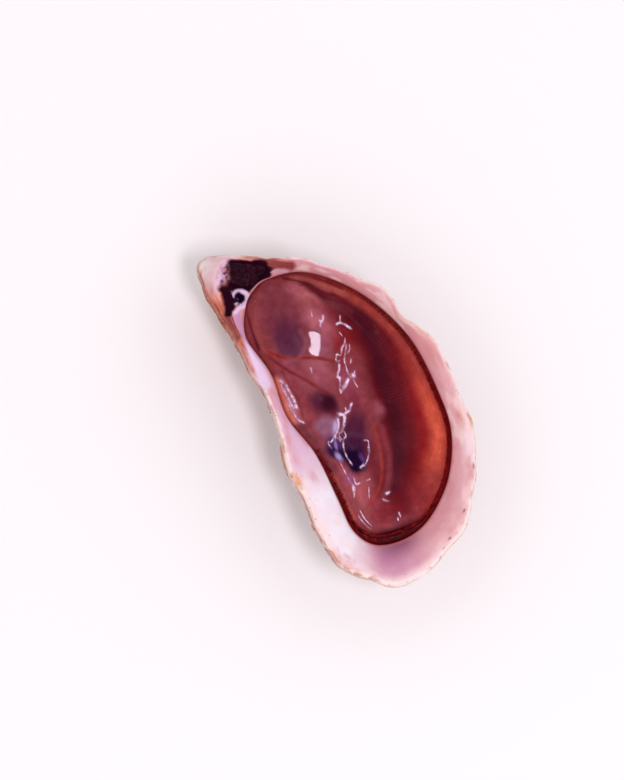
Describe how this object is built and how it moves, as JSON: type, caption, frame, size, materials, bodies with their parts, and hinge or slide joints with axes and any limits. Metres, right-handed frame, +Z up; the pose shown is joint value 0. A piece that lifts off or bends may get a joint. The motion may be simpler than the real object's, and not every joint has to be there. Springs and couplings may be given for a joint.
{
  "type": "oyster on the half shell",
  "caption": "Opened oyster lying with its liquor in the deep cupped lower valve, long curved outline with a knobbed hinge end, broad pale lip and rough growth plates outside.",
  "frame": {"origin": "on the floor under the middle of the shell's bounding box", "axes": "+Z up out of the open side, +X from the hinge to the lip, +Y to the side where the outline bulges"},
  "size_m": [0.102, 0.055, 0.0251],
  "materials": {
    "shell": "chalky layered outside, smooth wet nacre on the lip",
    "meat": "soft wet translucent flesh",
    "liquor": "clear sea water with a brown tint",
    "ligament": "dark torn horny tissue"
  },
  "bodies": {
    "root": {"shell": "shell", "oyster_meat": "meat", "liquor": "liquor", "hinge_ligament": "ligament"}
  },
  "joints": []
}
